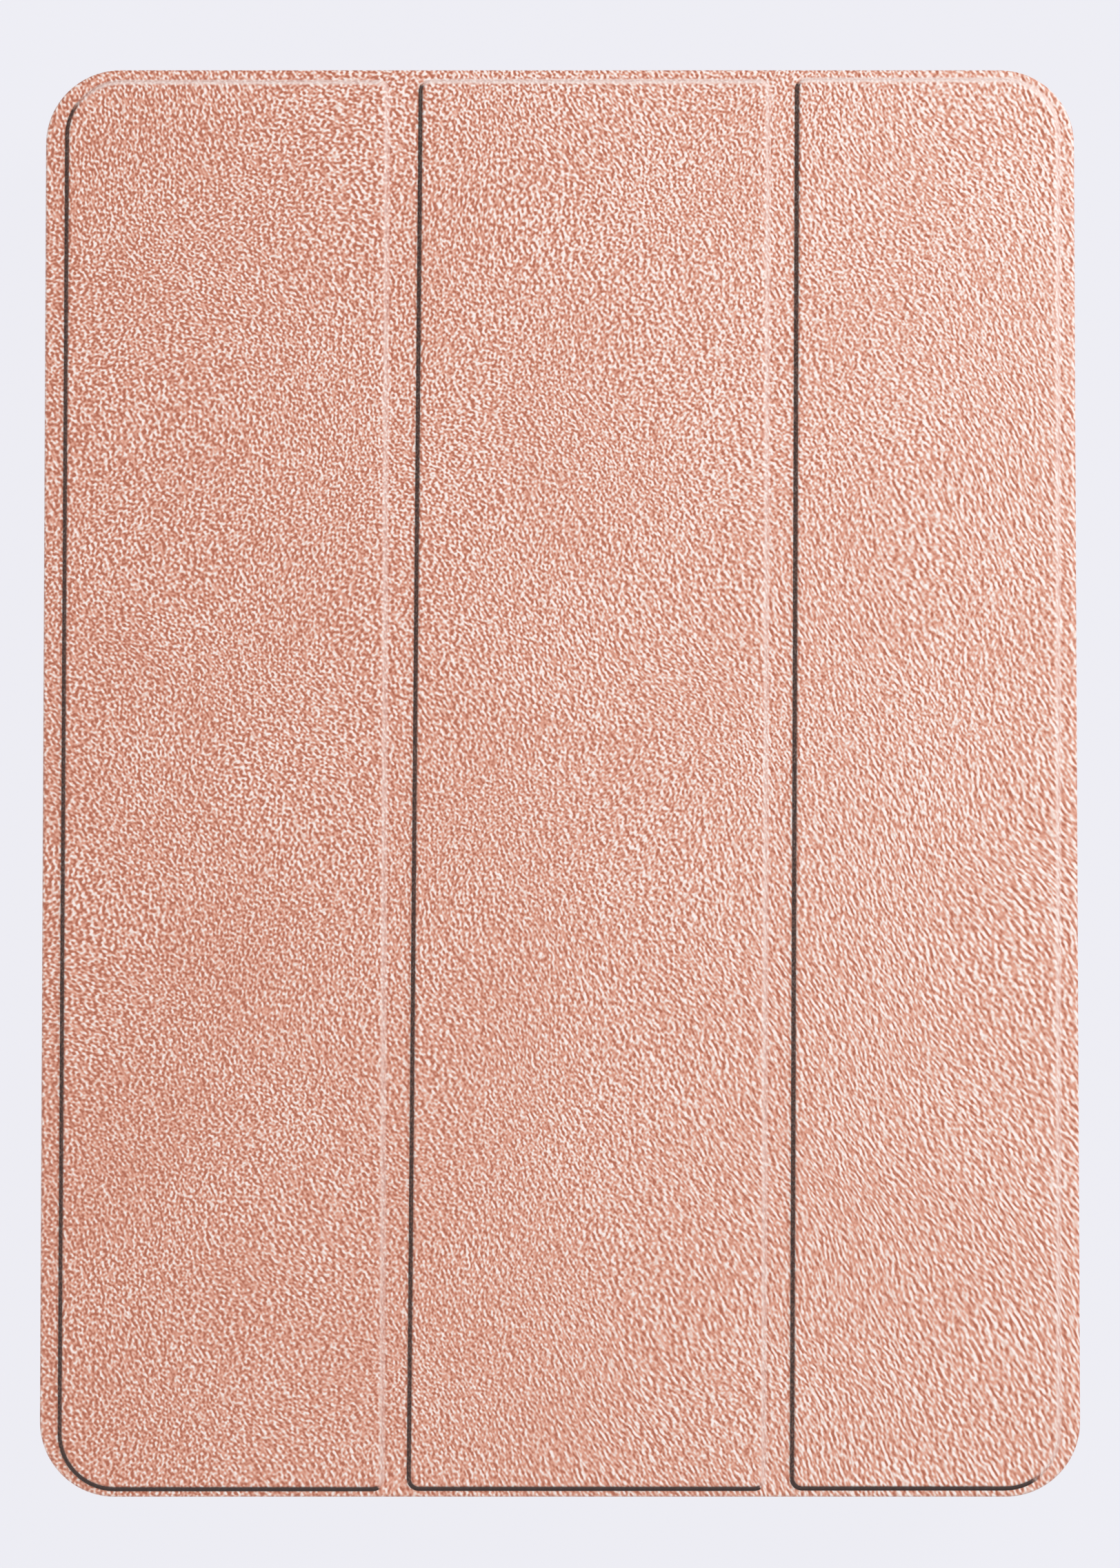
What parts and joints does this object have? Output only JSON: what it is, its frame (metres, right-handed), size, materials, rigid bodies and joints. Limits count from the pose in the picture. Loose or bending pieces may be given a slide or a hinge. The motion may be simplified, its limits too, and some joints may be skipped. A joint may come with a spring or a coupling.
{
  "type": "tablet computer in a folio case",
  "caption": "Tablet computer closed in a leather tri-fold folio case whose cover, spine and folding panels open around it.",
  "frame": {"origin": "centre of the footprint, on the surface that the closed case rests on", "axes": "+X from the spine to the free edge, +Y to the tablet's top edge, +Z out of the closed front cover"},
  "size_m": [0.1826, 0.2522, 0.0104],
  "materials": {
    "rose_leather": "embossed grain, pearl satin",
    "key_rubber": "matte",
    "suede_lining": "short nap",
    "stiff_board": "matte",
    "shell_plastic": "satin",
    "housing_aluminium": "bead blasted",
    "screen_glass": "polished",
    "lens_glass": "polished",
    "display_layers": "gloss",
    "shield_steel": "satin",
    "magnet_metal": "nickel plated",
    "adhesive": "matte",
    "flex_gold": "satin",
    "circuit_board": "satin",
    "black_plastic": "matte",
    "battery_wrap": "satin",
    "lamp_lens": "gloss"
  },
  "bodies": {
    "tablet": {"back_leather": "rose_leather", "case_shell": "shell_plastic", "rear_housing": "housing_aluminium", "cover_glass": "screen_glass", "glass_adhesive": "adhesive", "display_panel": "display_layers", "display_shield": "shield_steel", "display_flex": "flex_gold", "logic_board": "circuit_board", "board_shields": "shield_steel", "board_chips": "black_plastic", "board_screws": "shield_steel", "battery_left": "battery_wrap", "battery_right": "battery_wrap", "battery_board": "circuit_board", "front_camera": "black_plastic", "light_sensor": "black_plastic", "rear_camera": "black_plastic", "camera_ring": "housing_aluminium", "camera_lens": "lens_glass", "flash_lamp": "lamp_lens", "speakers": "black_plastic", "microphone_units": "shield_steel", "usb_shell": "shield_steel", "usb_tongue": "black_plastic", "key_switches": "shield_steel", "housing_magnets": "magnet_metal", "back_hinge_strip": "rose_leather"},
    "power_button": {"power_key_bar": "housing_aluminium", "power_key_cover": "key_rubber"},
    "volume_up_button": {"volume_up_bar": "housing_aluminium", "volume_up_cover": "key_rubber"},
    "volume_down_button": {"volume_down_bar": "housing_aluminium", "volume_down_cover": "key_rubber"},
    "spine": {"spine_leather": "rose_leather", "spine_lining": "suede_lining"},
    "inner_panel": {"cover_hinge_strip": "rose_leather", "inner_leather": "rose_leather", "inner_board": "stiff_board", "inner_lining": "suede_lining", "inner_fold_strip": "rose_leather"},
    "middle_panel": {"middle_leather": "rose_leather", "middle_board": "stiff_board", "middle_lining": "suede_lining", "outer_fold_strip": "rose_leather"},
    "outer_panel": {"outer_leather": "rose_leather", "outer_board": "stiff_board", "outer_lining": "suede_lining", "cover_magnets": "magnet_metal"}
  },
  "joints": [
    {"name": "back_hinge", "type": "hinge", "parent": "tablet", "child": "spine", "pos_m": [-0.0903, 0, 0.001], "axis": [0, -1, 0], "range_deg": [0, 178], "deforming": ["back_hinge_strip"]},
    {"name": "cover_hinge", "type": "hinge", "parent": "spine", "child": "inner_panel", "pos_m": [-0.0903, 0, 0.0086], "axis": [0, -1, 0], "range_deg": [0, 178], "deforming": ["cover_hinge_strip"]},
    {"name": "inner_fold", "type": "hinge", "parent": "inner_panel", "child": "middle_panel", "pos_m": [-0.0282, 0, 0.0096], "axis": [0, 1, 0], "range_deg": [-120, 0], "deforming": ["inner_fold_strip"]},
    {"name": "outer_fold", "type": "hinge", "parent": "middle_panel", "child": "outer_panel", "pos_m": [0.03895, 0, 0.0096], "axis": [0, 1, 0], "range_deg": [-140, 0], "deforming": ["outer_fold_strip"]},
    {"name": "power_press", "type": "slide", "parent": "tablet", "child": "power_button", "axis": [0, -1, 0], "range_m": [0, 0.0003], "stiffness_N_per_m": 900},
    {"name": "volume_up_press", "type": "slide", "parent": "tablet", "child": "volume_up_button", "axis": [-1, 0, 0], "range_m": [0, 0.0003], "stiffness_N_per_m": 900},
    {"name": "volume_down_press", "type": "slide", "parent": "tablet", "child": "volume_down_button", "axis": [-1, 0, 0], "range_m": [0, 0.0003], "stiffness_N_per_m": 900}
  ]
}
